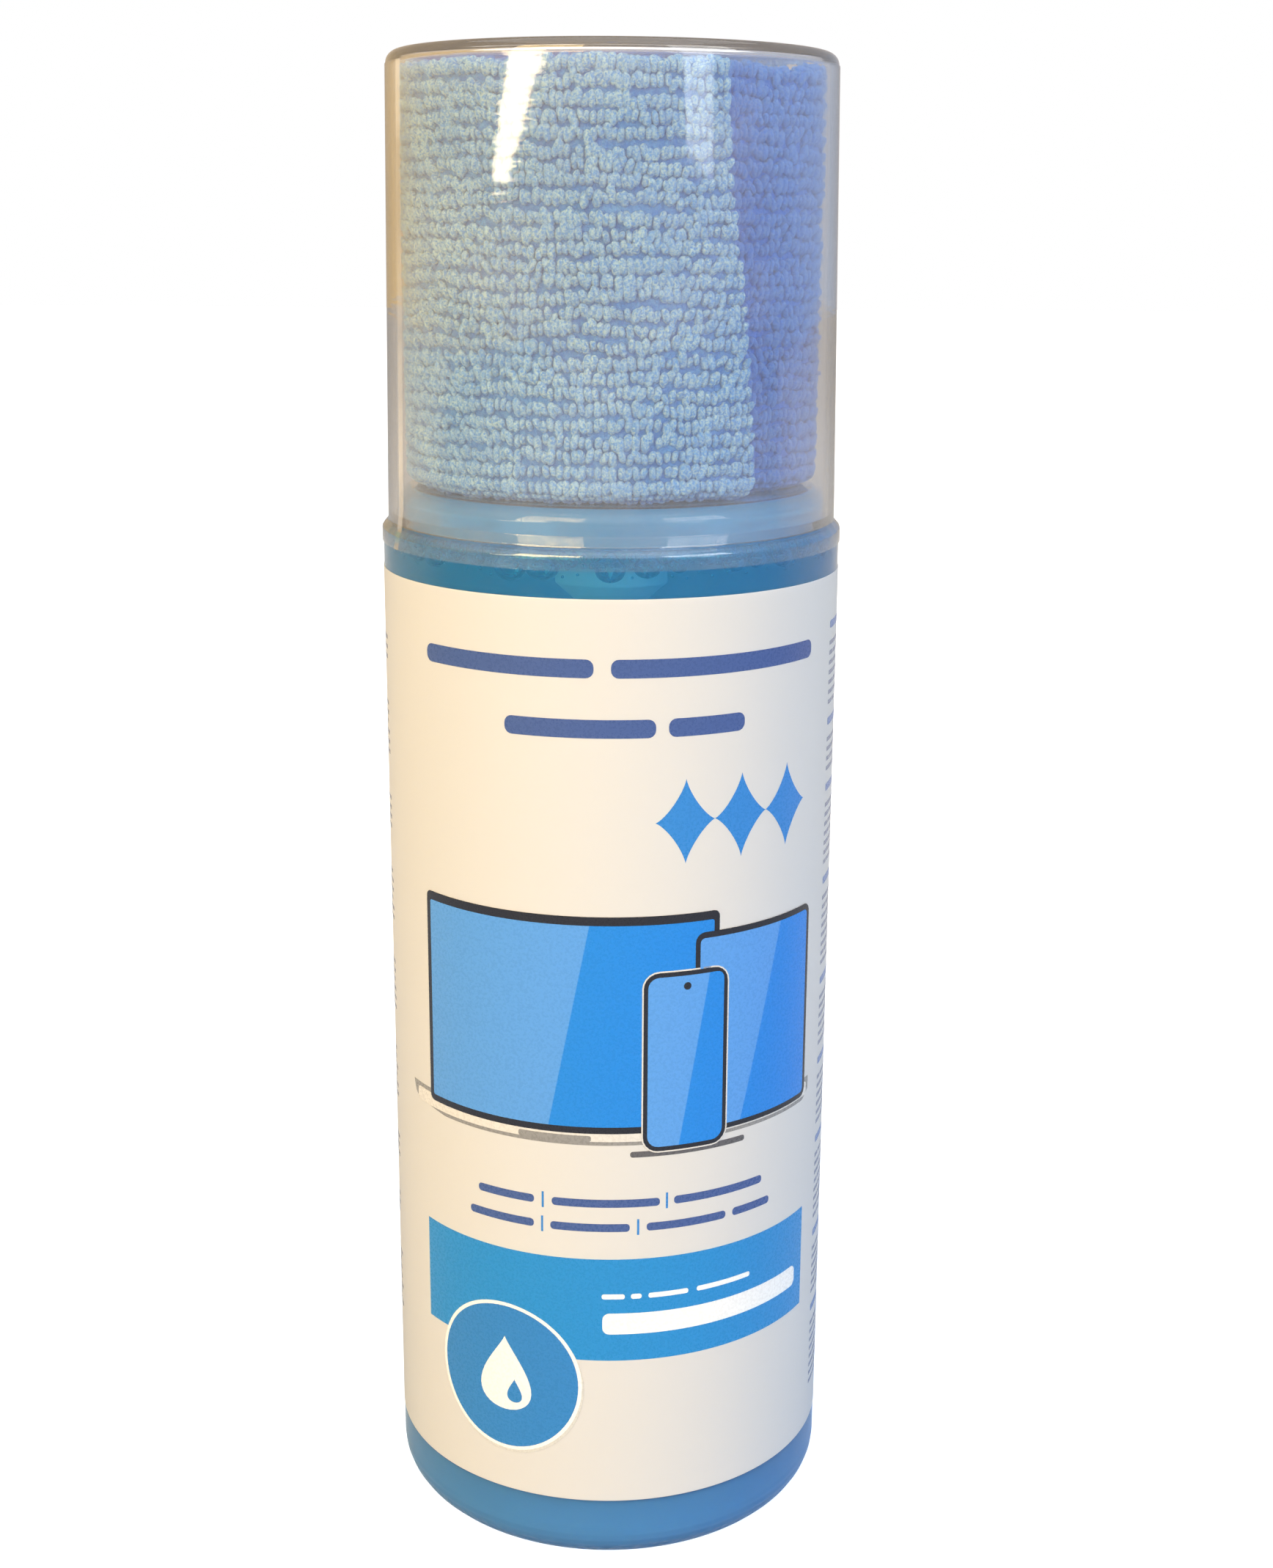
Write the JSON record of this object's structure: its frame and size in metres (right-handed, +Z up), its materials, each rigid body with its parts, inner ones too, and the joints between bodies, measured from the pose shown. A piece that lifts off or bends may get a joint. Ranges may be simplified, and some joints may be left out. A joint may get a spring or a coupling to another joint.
{
  "type": "screen cleaning spray bottle",
  "caption": "Clear pump spray bottle of blue cleaning liquid with a wrap label; its clear overcap holds a rolled terry cleaning cloth round the pump.",
  "frame": {"origin": "centre of the ring that the bottle stands on", "axes": "+Z up along the bottle's axis, -Y towards the label's front and the nozzle"},
  "size_m": [0.0598, 0.0598, 0.1946],
  "materials": {
    "clear_bottle": "clear blown PET, glossy",
    "label_film": "white printed film label, satin gloss",
    "blue_liquid": "transparent blue liquid",
    "white_polymer": "white moulded polypropylene, fine satin",
    "natural_polymer": "natural translucent polypropylene",
    "soft_seal": "soft white elastomer",
    "spring_steel": "stainless steel",
    "clear_cap": "clear moulded polystyrene, glossy",
    "clear_film": "clear shrink film",
    "blue_terry": "sky-blue looped terry microfibre"
  },
  "bodies": {
    "bottle": {"bottle": "clear_bottle", "wrap_label": "label_film", "cleaning_liquid": "blue_liquid"},
    "overcap": {"overcap": "clear_cap", "tamper_film": "clear_film", "microfiber_cloth": "blue_terry"},
    "pump_base": {"pump_housing": "natural_polymer", "neck_gasket": "soft_seal", "stem_guide": "natural_polymer", "dip_tube": "natural_polymer", "return_spring": "spring_steel"},
    "closure": {"closure": "white_polymer"},
    "plunger": {"stem": "natural_polymer", "stem_core": "natural_polymer", "piston": "soft_seal", "valve_spring": "spring_steel"},
    "spray_head": {"actuator": "white_polymer", "nozzle_insert": "white_polymer"},
    "inlet_ball": {"inlet_ball": "spring_steel"}
  },
  "joints": [
    {"name": "overcap_lift", "type": "slide", "parent": "bottle", "child": "overcap", "axis": [0, 0, 1], "range_m": [0, 0.06]},
    {"name": "pump_lift", "type": "slide", "parent": "bottle", "child": "pump_base", "axis": [0, 0, 1], "range_m": [0, 0.0048]},
    {"name": "closure_turn", "type": "hinge", "parent": "pump_base", "child": "closure", "pos_m": [0, 0, 0.1553], "axis": [0, 0, 1], "range_deg": [0, 540]},
    {"name": "head_press", "type": "slide", "parent": "pump_base", "child": "plunger", "axis": [0, 0, -1], "range_m": [0, 0.006], "stiffness_N_per_m": 800, "springref_m": -0.004, "deforming": ["return_spring"]},
    {"name": "head_swivel", "type": "hinge", "parent": "plunger", "child": "spray_head", "pos_m": [0, 0, 0.177], "axis": [0, 0, 1], "continuous": true},
    {"name": "ball_lift", "type": "slide", "parent": "pump_base", "child": "inlet_ball", "axis": [0, 0, 1], "range_m": [0, 0.0008]}
  ],
  "couplings": [
    {"joint": "pump_lift", "follows": "closure_turn", "m_per_rad": 0.00050531}
  ]
}
